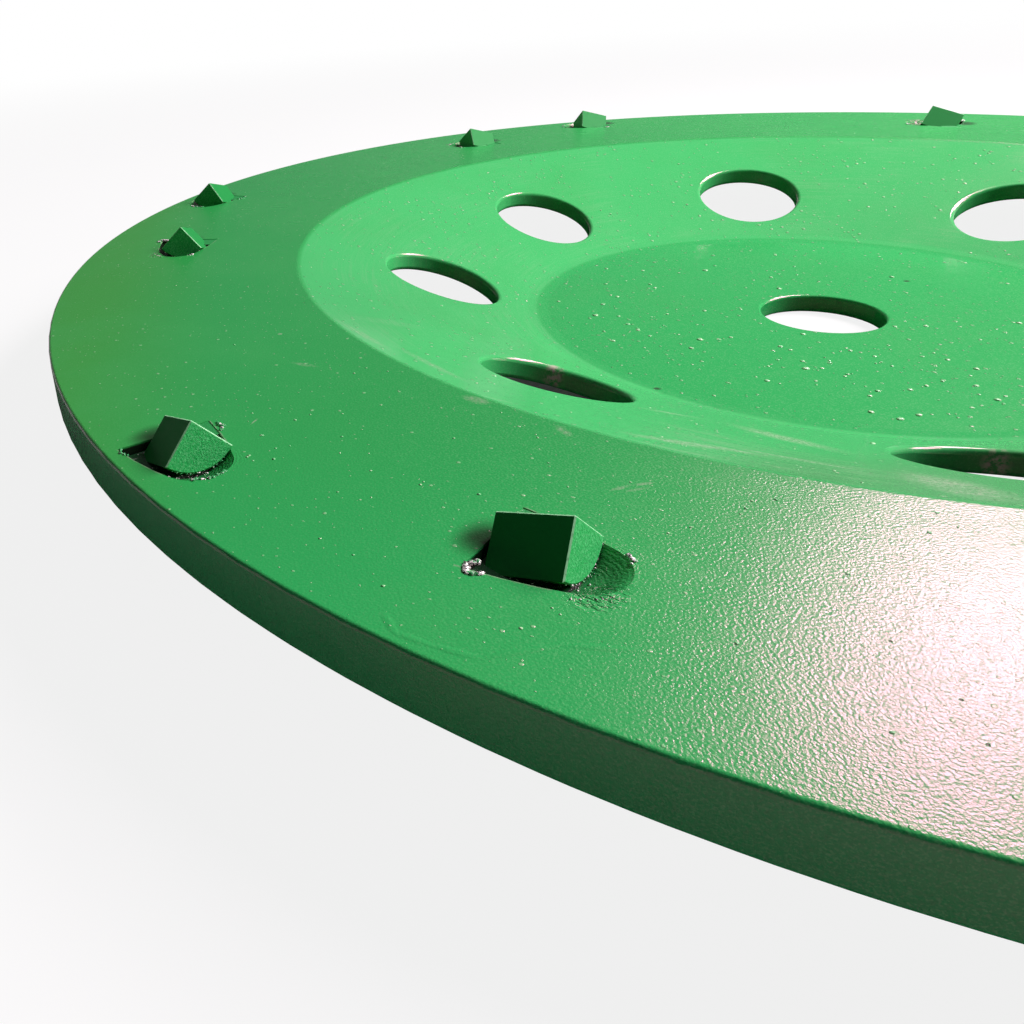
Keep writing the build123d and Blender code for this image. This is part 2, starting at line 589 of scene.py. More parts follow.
@dataclass(frozen=True)
class Enamel(Finish):
    """Sprayed green enamel with orange peel, dust nibs, rub marks and a paint run."""

    name: str = "plate_enamel"
    rim_green: Color = (0.022, 0.412, 0.090, 1.0)
    # painted light: the rim's green grows lighter towards -Y
    front_painted_light_green: Color = (0.024, 0.458, 0.112, 1.0)
    # painted reflection and shade: the rim turns duller and more olive towards -X
    far_sheen_and_shade_green: Color = (0.042, 0.385, 0.058, 1.0)
    # painted light: the rim's side wall gets its own copy of the green, set for how the wall is lit
    wall_painted_light_green: Color = (0.020, 0.400, 0.115, 1.0)
    cone_green: Color = (0.056, 0.545, 0.150, 1.0)
    worn_green: Color = (0.098, 0.295, 0.114, 1.0)
    hub_green: Color = (0.026, 0.475, 0.114, 1.0)
    pale_shift: Color = (0.050, 0.460, 0.110, 1.0)
    # dust colour, also used for the painted highlight along the pockets' edges
    dust_and_highlight_green: Color = (0.350, 0.500, 0.320, 1.0)
    pale_speck: Color = (0.220, 0.640, 0.270, 1.0)
    nib_color: Color = (0.300, 0.660, 0.310, 1.0)
    pit_color: Color = (0.030, 0.050, 0.030, 1.0)
    bare_color: Color = (0.850, 0.640, 0.600, 1.0)
    # painted shade deep in the pockets
    pocket_shade_green: Color = (0.010, 0.150, 0.036, 1.0)
    # painted shade and shadow at the cutters, near black
    painted_shade_color: Color = (0.003, 0.018, 0.006, 1.0)
    gloss_tint: Color = (1.0, 0.05, 0.50, 1.0)
    gloss_level: float = 0.75
    roughness: float = 0.26
    roughness_change: float = 0.08
    roughness_patches: Noise = (6.0, 3.0, 0.5)
    dust_roughness: float = 0.20
    cup_roughness: float = -0.10
    cup_edge: Span = (106.0, 105.2)
    hub_edge: Span = (56.6, 55.0)
    wall_edge: Span = (150.5, 152.0)
    upward: Span = (0.6, 0.9)
    front_side: Span = (-62.0, -118.0)
    far_side: Span = (-118.0, -146.0)
    worn_way: Point = (0.35, -1.0, 0.0)
    worn_side: Span = (50.0, 72.0)
    worn_share: float = 0.75
    cloud: Mottle = Mottle(30.0, 4.0, 0.6, 0.42, 0.75, 0.0, 0.32)
    speck: Mottle = Mottle(0.24, 1.0, 0.5, 0.50, 0.68, 0.0, 0.28)
    speck_side: Step = (-115.0, -70.0, 0.25, 1.0)
    peel_size: float = 0.30
    peel_octaves: float = 1.5
    peel_height: float = 0.057
    peel_side: Step = (-135.0, -75.0, 0.30, 1.0)
    smooth_side: Step = (-72.0, -28.0, 1.0, 0.68)
    peel_lost_in_cup: float = -0.8
    swell_size: float = 6.0
    swell_height: float = 0.05
    rim_nib_height: float = 0.04
    cup_nib_more: float = 0.12
    pit_depth: float = 0.08
    nib_share: float = 0.75
    nib_shake: float = 0.25
    nib_shake_size: float = 1 / 1.4
    crowd: Mottle = Mottle(17.0, 2.0, 0.5, 0.38, 0.66)
    fine_nibs: NibLayer = NibLayer(1.5, 0.17, 0.12, 0.45)
    fine_nib_share: float = 0.8
    middling_nibs: NibLayer = NibLayer(4.2, 0.30, 0.20, 0.45)
    cup_nibs: NibLayer = NibLayer(2.4, 0.44, 0.10, 0.50)
    cup_nib_share: float = 0.80
    # painted highlight along the pockets' edges, broken into patches
    lip_highlight_breaks: Mottle = Mottle(1.6, 2.0, 0.5, 0.38, 0.58)
    lip_highlight_share: float = 0.55
    rub_marks: tuple[Rub, ...] = (
        Rub(-86.4, -63.9, 20.7, 2.6, 1.2, 133.0, 1.00),
        Rub(-78.2, -74.5, 20.7, 2.1, 0.8, 104.0, 0.80),
        Rub(-108.0, -47.2, 20.7, 2.8, 0.7, 147.0, 0.50),
        Rub(-115.7, -65.2, 20.7, 1.2, 0.20, 60.0, 1.20),
        Rub(-76.7, -88.6, 20.7, 1.7, 0.45, 18.0, 0.60),
        Rub(-73.8, -88.1, 20.7, 1.6, 0.40, 6.0, 0.60),
        Rub(-75.2, -89.2, 20.7, 2.2, 0.35, 10.0, 0.45),
        Rub(-111.1, -33.5, 20.7, 0.5, 0.40, 0.0, 1.80),
        Rub(-42.5, -62.0, 10.4, 13.0, 3.4, 110.0, 1.00),
        Rub(-62.8, -75.1, 17.9, 10.0, 2.2, 167.0, 1.00),
        Rub(-50.8, -78.6, 16.5, 9.0, 1.1, 144.0, 0.90),
        Rub(-39.5, -89.0, 17.7, 11.0, 6.0, 84.0, 0.95),
        Rub(-53.9, -51.2, 9.9, 6.5, 1.2, 173.0, 0.70),
        Rub(-97.7, -34.5, 19.9, 10.5, 1.4, 117.0, 0.55),
        Rub(-89.0, -45.6, 18.8, 11.5, 1.4, 115.0, 0.65),
        Rub(-91.2, -20.5, 16.4, 10.0, 2.6, 19.0, 0.20),
        Rub(-83.0, -63.1, 20.0, 3.0, 0.7, 153.0, 0.55),
    )
    rub_half_height: float = 6.0
    rub_grain: Mottle = Mottle(0.42, 3.0, 0.7, 0.40, 0.62)
    rub_grain_share: float = 0.55
    rub_streak_share: float = 0.35
    rub_least: float = 0.15
    streaks: Mottle = Mottle(1.0, 3.0, 0.6, 0.40, 0.70)
    streak_radius: float = 75.0
    streak_length: float = 14.0
    streak_width: float = 0.6
    dust_patches: Mottle = Mottle(24.0, 2.0, 0.5, 0.42, 0.66)
    dust_side: Step = (-30.0, -75.0, 0.25, 1.0)
    cone_dust: float = 0.40
    run_path: tuple[FlatPoint, ...] = (
        (-104.6, -106.9), (-104.1, -109.3), (-101.4, -111.3), (-97.7, -113.4), (-90.7, -112.6), (-84.6, -114.0)
    )
    run_overlap: float = 0.8
    run_half_width: float = 0.55
    run_half_height: float = 2.0
    run_height: float = 0.045
    pits: tuple[Point, ...] = ((-64.7, -115.2, 20.7), (-63.8, -122.0, 20.7), (-65.0, -126.3, 20.7))
    pit_size: Point = (0.19, 0.17, 1.0)
    pit_share: float = 0.90
    dark_marks: tuple[Point, ...] = ((-46.1, -29.6, 3.9), (27.0, 14.8, 3.7))
    dark_mark_size: Point = (1.0, 0.8, 1.5)
    bare_spots: tuple[Point, ...] = ((-63.3, -26.0, 6.0), (-13.2, -64.4, 4.6))
    bare_spot_size: Point = (2.2, 2.2, 3.4)
    torn: Mottle = Mottle(0.9, 3.0, 0.6, 0.38, 0.60)

    @cached_property
    def flat(self) -> Socket:
        """Gives the place with its height left out."""
        return self.graph.vector("MULTIPLY", self.graph.place, (1.0, 1.0, 0.0))

    @cached_property
    def radius(self) -> Socket:
        """Gives the distance from the wheel's axis."""
        return self.graph.vector("LENGTH", self.flat)

    @cached_property
    def inside(self) -> Socket:
        """Gives the share of the cup's inside."""
        return self.graph.ramp(self.radius, *self.cup_edge)

    @cached_property
    def hub(self) -> Socket:
        """Gives the share of the hub."""
        return self.graph.ramp(self.radius, *self.hub_edge)

    @cached_property
    def cone(self) -> Socket:
        """Gives the share of the cone."""
        return self.graph.minus(self.inside, self.hub)

    @cached_property
    def up(self) -> Socket:
        """Gives the share of the faces that look up."""
        return self.graph.ramp(self.graph.rise, *self.upward)

    def base(self) -> Socket:
        """Colours the zones of the plate, each a little clouded.

        Returns:
            The colour.
        """
        graph = self.graph
        x, y, _ = graph.xyz
        # painted light: the rim grows lighter towards -Y
        color = graph.blend(graph.ramp(y, *self.front_side), self.rim_green, self.front_painted_light_green)
        # painted reflection and shade towards -X
        color = graph.blend(graph.ramp(x, *self.far_side), color, self.far_sheen_and_shade_green)
        # painted light on the rim's side wall
        wall = graph.product(graph.ramp(self.radius, *self.wall_edge), graph.minus(1.0, self.up))
        color = graph.blend(wall, color, self.wall_painted_light_green)
        wear_and_highlight = graph.ramp(graph.vector("DOT_PRODUCT", graph.place, self.worn_way), *self.worn_side)
        cone = graph.blend(graph.product(wear_and_highlight, self.worn_share), self.cone_green, self.worn_green)
        color = graph.blend(self.cone, color, cone)
        color = graph.blend(self.hub, color, self.hub_green)
        color = graph.blend(graph.mottle(graph.place, self.cloud), color, self.pale_shift)
        speck = graph.product(graph.mottle(graph.place, self.speck), graph.ramp(x, *self.speck_side))
        return graph.blend(speck, color, self.pale_speck)

    @cached_property
    def dust(self) -> Socket:
        """Draws the dusty rub marks and the fine streaks round the cone.

        Returns:
            The share of dust.
        """
        graph = self.graph
        way_round = graph.vector("NORMALIZE", self.flat)
        across = graph.joined(0.0, 0.0, graph.math("DIVIDE", self.radius, self.streak_width))
        streak_place = graph.vector("ADD", graph.scaled(way_round, self.streak_radius / self.streak_length), across)
        streaks = graph.mottle(streak_place, self.streaks)
        marks = []
        for mark in self.rub_marks:
            half_sizes = (mark.half_length, mark.half_width, self.rub_half_height)
            spot = graph.spot(graph.place, (mark.x, mark.y, mark.z), half_sizes, mark.turn)
            marks.append(graph.product(spot, mark.strength))
        grain = graph.product(graph.mottle(graph.place, self.rub_grain), self.rub_grain_share)
        broken = graph.total(grain, graph.product(streaks, self.rub_streak_share), self.rub_least)
        front = graph.ramp(graph.xyz[1], *self.dust_side)
        patches = graph.mottle(graph.place, self.dust_patches)
        on_cone = graph.product(streaks, patches, self.cone, front, self.cone_dust)
        return graph.math("ADD", graph.product(graph.total(*marks), broken), on_cone, clamp=True)

    def small_nibs(self) -> Socket:
        """Scatters dust nibs over the faces that look up.

        Returns:
            A value of 1 at the middle of each nib and 0 away from it.
        """
        graph = self.graph
        shake = graph.noise(graph.place, self.nib_shake_size, output="Color")
        middle = (graph.noise_middle,) * 3
        shift = graph.scaled(graph.vector("SUBTRACT", shake, middle), self.nib_shake)
        uneven = graph.vector("ADD", graph.place, shift)
        crowd = graph.mottle(graph.place, self.crowd)
        fine, middling, in_cup = (
            graph.nibs(
                uneven, layer.spacing, layer.radius, graph.math("MULTIPLY_ADD", crowd, layer.crowded, layer.least)
            )
            for layer in (self.fine_nibs, self.middling_nibs, self.cup_nibs)
        )
        on_rim = graph.largest(graph.product(fine, self.fine_nib_share), middling)
        in_cup = graph.product(in_cup, self.inside, self.cup_nib_share)
        return graph.product(graph.largest(on_rim, in_cup), self.up)

    def run(self) -> Socket:
        """Raises the wrinkled paint run near the rim's edge.

        Returns:
            Its height, in millimetres.
        """
        bits = []
        for (x, y), (next_x, next_y) in zip(self.run_path, self.run_path[1:]):
            middle = ((x + next_x) / 2, (y + next_y) / 2, CutterForm.rim_level)
            half = math.hypot(next_x - x, next_y - y) / 2 + self.run_overlap
            turn = math.degrees(math.atan2(next_y - y, next_x - x))
            half_sizes = (half, self.run_half_width, self.run_half_height)
            bits.append(self.graph.spot(self.graph.place, middle, half_sizes, turn))
        return self.graph.product(self.graph.total(*bits), self.run_height)

    def relief(self, nibs: Socket, pits: Socket) -> Socket:
        """Adds up the orange peel, the nibs and the pits.

        Args:
            nibs: The nibs.
            pits: The pits.

        Returns:
            The height, in millimetres.
        """
        graph = self.graph
        x, _, _ = graph.xyz
        strength = graph.product(
            graph.ramp(x, *self.peel_side),
            graph.ramp(x, *self.smooth_side),
            graph.math("MULTIPLY_ADD", self.inside, self.peel_lost_in_cup, 1.0),
        )
        peel = graph.product(graph.noise(graph.place, self.peel_size, self.peel_octaves), strength, self.peel_height)
        swell = graph.product(graph.noise(graph.place, self.swell_size), self.swell_height)
        rise = graph.math("MULTIPLY_ADD", self.inside, self.cup_nib_more, self.rim_nib_height)
        return graph.total(peel, swell, graph.product(nibs, rise), graph.product(pits, -self.pit_depth))

    def gloss(self) -> Socket:
        """Gives the roughness, which is less inside the cup and rises a little where the paint is dusty.

        Returns:
            The roughness.
        """
        graph, least = self.graph, self.roughness - self.roughness_change / 2
        patches = graph.noise(graph.place, *self.roughness_patches)
        mottle = graph.math("MULTIPLY_ADD", patches, self.roughness_change, least)
        dusty = graph.product(self.dust, self.dust_roughness)
        return graph.math("ADD", mottle, graph.math("MULTIPLY_ADD", self.inside, self.cup_roughness, dusty), clamp=True)

    def build(self, rows: tuple[CutterRow, ...]) -> bpy.types.Material:
        """Builds the plate's paint.

        Args:
            rows: The rows of cutters, round whose pockets the paint has ripples and creases.

        Returns:
            The material.
        """
        graph = self.graph
        pockets = [PocketPaint(graph, row) for row in rows]
        nibs = self.small_nibs()
        pits = graph.total(*graph.spots(self.pits, self.pit_size), *graph.spots(self.dark_marks, self.dark_mark_size))
        lips = graph.total(*[pocket.lip() for pocket in pockets])
        bare = graph.total(*graph.spots(self.bare_spots, self.bare_spot_size))
        coats = (
            (self.dust, self.dust_and_highlight_green),
            (graph.product(nibs, self.nib_share), self.nib_color),
            # painted shade deep in the pockets
            (graph.total(*[pocket.dark() for pocket in pockets]), self.pocket_shade_green),
            # painted shade and shadow under and behind the cutters
            (graph.total(*[pocket.soot_and_shade() for pocket in pockets]), self.painted_shade_color),
            # painted highlight along the pockets' edges
            (graph.product(lips, graph.mottle(graph.place, self.lip_highlight_breaks), self.lip_highlight_share), self.dust_and_highlight_green),
            (graph.product(pits, self.pit_share), self.pit_color),
            (graph.product(bare, graph.mottle(graph.place, self.torn)), self.bare_color),
        )
        color = self.base()
        for share, coat in coats:
            color = graph.blend(share, color, coat)
        heights = [self.relief(nibs, pits), self.run()]
        heights += [pocket.ripples() for pocket in pockets]
        heights += [pocket.creases() for pocket in pockets if pocket.row.row is Row.INNER]
        graph.surface(graph.total(*heights), {
            "Base Color": color,
            "Specular IOR Level": self.gloss_level,
            "Specular Tint": self.gloss_tint,
            "Roughness": self.gloss(),
        })
        return self.material


def facing_round(graph: Graph) -> Socket:
    """Tells how far a surface faces the way that the cutting faces do.

    Args:
        graph: The graph to add to.

    Returns:
        A value of nearly 1 on a cutting face, and about a half on the chamfers round it.
    """
    x, y, _ = graph.xyz
    forward = graph.vector("NORMALIZE", graph.joined(graph.product(y, -1.0), x, 0.0))
    return graph.vector("DOT_PRODUCT", forward, graph.normal)


@dataclass(frozen=True)
class CutterPaint(Finish):
    """Thin enamel over a cutter: dark on its flanks, granular on its cutting face, with a painted highlight in broken
    patches on its edges.
    """

    flank_green: Color = (0.010, 0.260, 0.050, 1.0)
    face_green: Color = (0.026, 0.470, 0.105, 1.0)
    face_pale: Color = (0.110, 0.620, 0.210, 1.0)
    # painted highlight on the chamfers and the ridge's top
    edge_highlight_pale: Color = (0.360, 0.800, 0.430, 1.0)
    gloss_tint: Color = (0.5, 1.0, 0.6, 1.0)
    gloss_level: float = 0.20
    roughness: float = 0.58
    roughness_change: float = 0.12
    roughness_patch: float = 1.0
    face_way: Span = (0.84, 0.92)
    chamfer_way: Span = (0.40, 0.46)
    chamfer_end: Span = (0.66, 0.60)
    ridge_rise: Span = (0.86, 0.92)
    # breaks the painted highlight into patches
    edge_highlight_breaks: Mottle = Mottle(0.9, 3.0, 0.6, 0.36, 0.52, 0.60, 1.0)
    face_mottle: Mottle = Mottle(0.30, 3.0, 0.65, 0.40, 0.70)
    speck_spacing: float = 1.1
    speck_radius: float = 0.14
    speck_share: float = 0.4
    grain: Noise = (0.24, 3.0, 0.6)
    flank_grain: float = 0.012
    face_grain_more: float = 0.085

    def build(self) -> bpy.types.Material:
        """Builds the paint.

        Returns:
            The material.
        """
        graph = self.graph
        forward = facing_round(graph)
        face = graph.ramp(forward, *self.face_way)
        chamfer = graph.product(graph.ramp(forward, *self.chamfer_way), graph.ramp(forward, *self.chamfer_end))
        edge = graph.largest(chamfer, graph.ramp(graph.rise, *self.ridge_rise))
        specks = graph.nibs(graph.place, self.speck_spacing, self.speck_radius, self.speck_share)
        pale = graph.largest(graph.mottle(graph.place, self.face_mottle), specks)
        color = graph.blend(face, self.flank_green, graph.blend(pale, self.face_green, self.face_pale))
        # painted highlight on the edges, broken into patches
        wear_and_highlight = graph.product(edge, graph.mottle(graph.place, self.edge_highlight_breaks))
        grain_height = graph.math("MULTIPLY_ADD", face, self.face_grain_more, self.flank_grain)
        patches = graph.noise(graph.place, self.roughness_patch)
        least = self.roughness - self.roughness_change / 2
        graph.surface(graph.product(graph.noise(graph.place, *self.grain), grain_height), {
            "Base Color": graph.blend(wear_and_highlight, color, self.edge_highlight_pale),
            "Specular IOR Level": self.gloss_level,
            "Specular Tint": self.gloss_tint,
            "Roughness": graph.math("MULTIPLY_ADD", patches, self.roughness_change, least),
        })
        return self.material


@dataclass(frozen=True)
class BrazeMetal(Finish):
    """Lumpy silver braze with paint over part of it, dark dirt in patches on the bare metal, and painted shade on the
    side that faces the cutting face's way.
    """

    painted_share: float
    # share of the painted shade on the joint's front, and of the topcoat on its bank
    shade_and_topcoat_share: float
    metal: Color = (0.92, 0.87, 0.85, 1.0)
    painted: Color = (0.040, 0.360, 0.110, 1.0)
    # dark colour for dirt patches on the bare metal and for painted shade on the joint's front
    soot_and_shade: Color = (0.006, 0.010, 0.007, 1.0)
    topcoat: Color = (0.022, 0.330, 0.078, 1.0)
    metallic: float = 0.30
    least_roughness: float = 0.26
    roughness_change: float = 0.3
    patches: Noise = (0.9, 3.0, 0.6)
    paint_spread: float = 0.5
    patch_edge: float = 0.03
    # painted shade on faces that look the cutting face's way, as in the gap under its arc
    gap_shade_way: Span = (0.60, 0.75)
    glints: Mottle = Mottle(0.22, 2.0, 0.6, 0.60, 0.66)
    dirt: Mottle = Mottle(0.32, 3.0, 0.6, 0.50, 0.60)
    bank_level: Span = (20.3, 20.5)
    bank_rise: Span = (0.80, 0.95)
    lumps: Noise = (0.35, 3.0, 0.6)
    lump_height: float = 0.10

    def build(self) -> bpy.types.Material:
        """Builds the metal.

        Returns:
            The material.
        """
        graph = self.graph
        patches = graph.noise(graph.place, *self.patches)
        edge = graph.noise_middle + self.paint_spread * (self.painted_share - graph.noise_middle)
        bare = graph.ramp(patches, edge - self.patch_edge, edge + self.patch_edge)
        # painted shade on the joint's front, in the gap under the cutter's arc
        front = graph.product(graph.ramp(facing_round(graph), *self.gap_shade_way), self.shade_and_topcoat_share)
        glints = graph.mottle(graph.place, self.glints)
        dirty = graph.blend(graph.mottle(graph.place, self.dirt), self.metal, self.soot_and_shade)
        color = graph.blend(bare, self.painted, dirty)
        color = graph.blend(front, color, graph.blend(glints, self.soot_and_shade, self.metal))
        bank_top = graph.product(graph.ramp(graph.xyz[2], *self.bank_level), graph.ramp(graph.rise, *self.bank_rise))
        shiny = graph.math("MULTIPLY_ADD", front, graph.minus(glints, bare), bare)
        graph.surface(graph.product(graph.noise(graph.place, *self.lumps), self.lump_height), {
            "Base Color": graph.blend(graph.product(bank_top, self.shade_and_topcoat_share), color, self.topcoat),
            "Metallic": graph.product(shiny, self.metallic),
            "Roughness": graph.math("MULTIPLY_ADD", patches, self.roughness_change, self.least_roughness),
        })
        return self.material


@dataclass(frozen=True)
class NibEnamel(Finish):
    """Enamel over the larger dust nibs, paler where it is thin on their tops."""

    name: str = "nib_enamel"
    green: Color = (0.180, 0.620, 0.250, 1.0)
    pale: Color = (0.480, 0.760, 0.430, 1.0)
    gloss_level: float = 0.45
    least_roughness: float = 0.25
    roughness_change: float = 0.10
    thin: Mottle = Mottle(0.6, 2.0, 0.5, 0.36, 0.62)
    thin_height: float = 0.02

    def build(self) -> bpy.types.Material:
        """Builds the enamel.

        Returns:
            The material.
        """
        graph = self.graph
        thin = graph.mottle(graph.place, self.thin)
        graph.surface(graph.product(thin, self.thin_height), {
            "Base Color": graph.blend(thin, self.green, self.pale),
            "Specular IOR Level": self.gloss_level,
            "Roughness": graph.math("MULTIPLY_ADD", thin, self.roughness_change, self.least_roughness),
        })
        return self.material


@dataclass(frozen=True)
class FloorFinish(Finish):
    """The floor's finish: white to the camera, with the wheel's shadow, and darker as a reflector near the wheel."""

    name: str = "floor_white"
    # painted shadow: the floor's colour as a reflector is darker under and round the wheel
    under_wheel: float = 0.10
    round_wheel: float = 0.62
    wheel_edge: Span = (120.0, 175.0)
    shown: Color = (0.85, 0.85, 0.85, 1.0)
    shadow_depth: float = 0.14
    shadow_end: Span = (260.0, 900.0)
    dish_shadow: Oval = ((-61.0, -19.0, 0.0), (36.0, 20.0, 10.0))
    dish_turn: float = -40.0
    dish_depth: float = 0.97

    def build(self) -> bpy.types.Material:
        """Builds the floor's finish.

        Returns:
            The material.
        """
        graph = self.graph
        away = graph.vector("LENGTH", graph.place)
        lit, shown, white = graph.add("BsdfDiffuse"), graph.add("BsdfDiffuse"), graph.add("Emission")
        # painted shadow on the floor as a reflector
        graph.fed(lit, graph.ramp(away, *self.wheel_edge, self.under_wheel, self.round_wheel))
        graph.fed(shown, self.shown)
        graph.fed(white, WHITE, 1.0)
        glow = graph.ramp(away, *self.shadow_end, 1.0 - self.shadow_depth, 1.0)
        under_dish = graph.spot(graph.place, *self.dish_shadow, self.dish_turn)
        glow = graph.product(glow, graph.minus(1.0, graph.product(under_dish, self.dish_depth)))
        seen = graph.seen_white(graph.ramp(away, *self.shadow_end))
        graph.finish(graph.mixed(seen, lit, graph.mixed(glow, shown, white)))
        return self.material


@dataclass
class PhotoCamera:
    """The camera of the photograph, as a fit of the wheel's edges gives it."""

    place: Point = (-113.05, -170.32, 71.47)
    elevation: float = 27.80
    roll: float = 4.47
    lens: float = 31.43
    sensor_height: float = 36.0
    sensor_width: float = 27.0
    shift_right: float = 0.2295
    shift_up: float = -0.0592
    nearest_m: float = 0.005
    farthest_m: float = 30.0

    def build(self) -> None:
        """Makes the camera and gives it to the scene."""
        data = bpy.data.cameras.new("photo_camera")
        data.sensor_fit = "VERTICAL"
        data.sensor_height = self.sensor_height
        data.sensor_width = self.sensor_width
        data.lens = self.lens
        data.shift_x = self.shift_right
        data.shift_y = self.shift_up
        data.clip_start = self.nearest_m
        data.clip_end = self.farthest_m
        camera = bpy.data.objects.new("photo_camera", data)
        look = Matrix.Rotation(math.radians(90.0 - self.elevation), 4, "X")
        roll = Matrix.Rotation(math.radians(-self.roll), 4, "Z")
        camera.matrix_world = Matrix.Translation(Vector(self.place) * MM) @ look @ roll
        bpy.context.scene.collection.objects.link(camera)
        bpy.context.scene.camera = camera


@dataclass(frozen=True)
class Lamp:
    """One round lamp, by its place, size, power, colour and aim."""

    name: str
    place: Point
    size: float
    power: float
    color: Point
    aim: Point = (-60.0, -60.0, 20.0)

    def build(self) -> None:
        """Makes the lamp, which shines from its place at its aim."""
        data = bpy.data.lights.new(self.name, "AREA")
        data.shape = "DISK"
        data.size = self.size * MM
        data.energy = self.power
        data.color = self.color
        lamp = bpy.data.objects.new(self.name, data)
        start = Vector(self.place) * MM
        lamp.location = start
        lamp.rotation_mode = "QUATERNION"
        lamp.rotation_quaternion = (Vector(self.aim) * MM - start).to_track_quat("-Z", "Y")
        bpy.context.scene.collection.objects.link(lamp)


@dataclass
class Studio:
    """Pale floor, soft surroundings and the lamps behind the wheel."""

    key: Lamp = Lamp("key_lamp", (222.0, 156.0, 300.0), 130.0, 1.45, (1.0, 0.94, 0.95))
    softbox: Lamp = Lamp("softbox", (900.0, 10.0, 760.0), 620.0, 17.2, (1.0, 0.845, 0.925))
    bright_way: Point = (0.45, 0.85, 0.25)
    room: Step = (-0.35, 0.6, 0.020, 0.12)
    backdrop_top: float = 0.03
    floor_size: float = 20000.0
    floor_finish: FloorFinish = FloorFinish()

    def world(self) -> None:
        """Lights the wheel dimly from all round, more from behind, in front of a white backdrop."""
        world = bpy.data.worlds.new("studio")
        bpy.context.scene.world = world
        world.use_nodes = True
        graph = Graph(world.node_tree)
        direction = graph.add("TexCoord").outputs["Generated"]
        facing = graph.vector("DOT_PRODUCT", direction, tuple(Vector(self.bright_way).normalized()))
        low = graph.math("LESS_THAN", graph.parts(direction)[2], self.backdrop_top)
        soft, white = graph.add("Background"), graph.add("Background")
        graph.fed(soft, WHITE, graph.ramp(facing, *self.room))
        graph.fed(white, WHITE, 1.0)
        graph.finish(graph.mixed(graph.seen_white(low), soft, white), "OutputWorld")

    def floor(self) -> None:
        """Lays the pale floor that the hub stands on."""
        mesh = bpy.data.meshes.new("floor")
        half = self.floor_size * MM / 2
        corners = [(-half, -half, 0), (half, -half, 0), (half, half, 0), (-half, half, 0)]
        mesh.from_pydata(corners, [], [(0, 1, 2, 3)])
        floor = bpy.data.objects.new("floor", mesh)
        bpy.context.scene.collection.objects.link(floor)
        mesh.materials.append(self.floor_finish.build())

    def build(self) -> None:
        """Makes the floor, the surroundings and the lamps."""
        self.floor()
        self.world()
        self.key.build()
        self.softbox.build()


@dataclass(frozen=True)
class Cutter:
    """One cutter in its pocket."""

    row: CutterRow
    number: int
    seed_step: int = 100

    def turned(self, outward: float, forward: float, level: float) -> Vector:
        """Turns a point of the first cutter's frame to this cutter, in metres."""
        angle = math.radians(self.row.turn + (self.number - 1) * 360.0 / self.row.count)
        return Matrix.Rotation(angle, 3, "Z") @ Vector((self.row.radius + outward, forward, level)) * MM

    def on_rim(self, outward: float, back: float) -> Vector:
        """Finds a point on the rim's face by its place beside the cutter.

        Args:
            outward: Distance out from the ridge line, away from the wheel's axis.
            back: Level distance behind the cutting face.

        Returns:
            The point, in metres.
        """
        form = self.row.form
        return self.turned(outward, form.front() - back, form.rim_level)

    def on_pocket_wall(self, turn: float, back: float, off: float) -> Vector:
        """Finds a point on the pocket's round wall.

        Args:
            turn: Angle round the ridge line, from outward, negative downwards, in degrees.
            back: Distance back along the ridge from the cutting face.
            off: Distance off the wall, towards the ridge line.

        Returns:
            The point, in metres.
        """
        form = self.row.form
        way = math.radians(turn)
        across = form.pocket_shift * math.sin(way)
        reach = form.pocket_shift * math.cos(way) + math.sqrt(form.pocket_radius**2 - across**2)
        return self.round_ridge(turn, back, reach - off)

    def under_arc(self, turn: float, back: float, off: float) -> Vector:
        """Finds a point off the cutter's own arc, by the same angle and distances."""
        return self.round_ridge(turn, back, self.row.form.radius + off)

    def round_ridge(self, turn: float, back: float, reach: float) -> Vector:
        """Finds a point by its angle and distance round the ridge line.

        Args:
            turn: Angle from outward, negative downwards, in degrees.
            back: Distance back along the ridge from the cutting face.
            reach: Distance from the ridge line.

        Returns:
            The point, in metres.
        """
        form = self.row.form
        way, tilt = math.radians(turn), math.radians(form.tilt)
        forward = form.front() - back * math.cos(tilt) - reach * math.sin(way) * math.sin(tilt)
        level = form.rim_level + form.ridge_height - back * math.sin(tilt) + reach * math.sin(way) * math.cos(tilt)
        return self.turned(reach * math.cos(way), forward, level)

    def seed(self) -> int:
        """Gives each cutter its own random draws."""
        return self.seed_step * self.number + self.row.seed


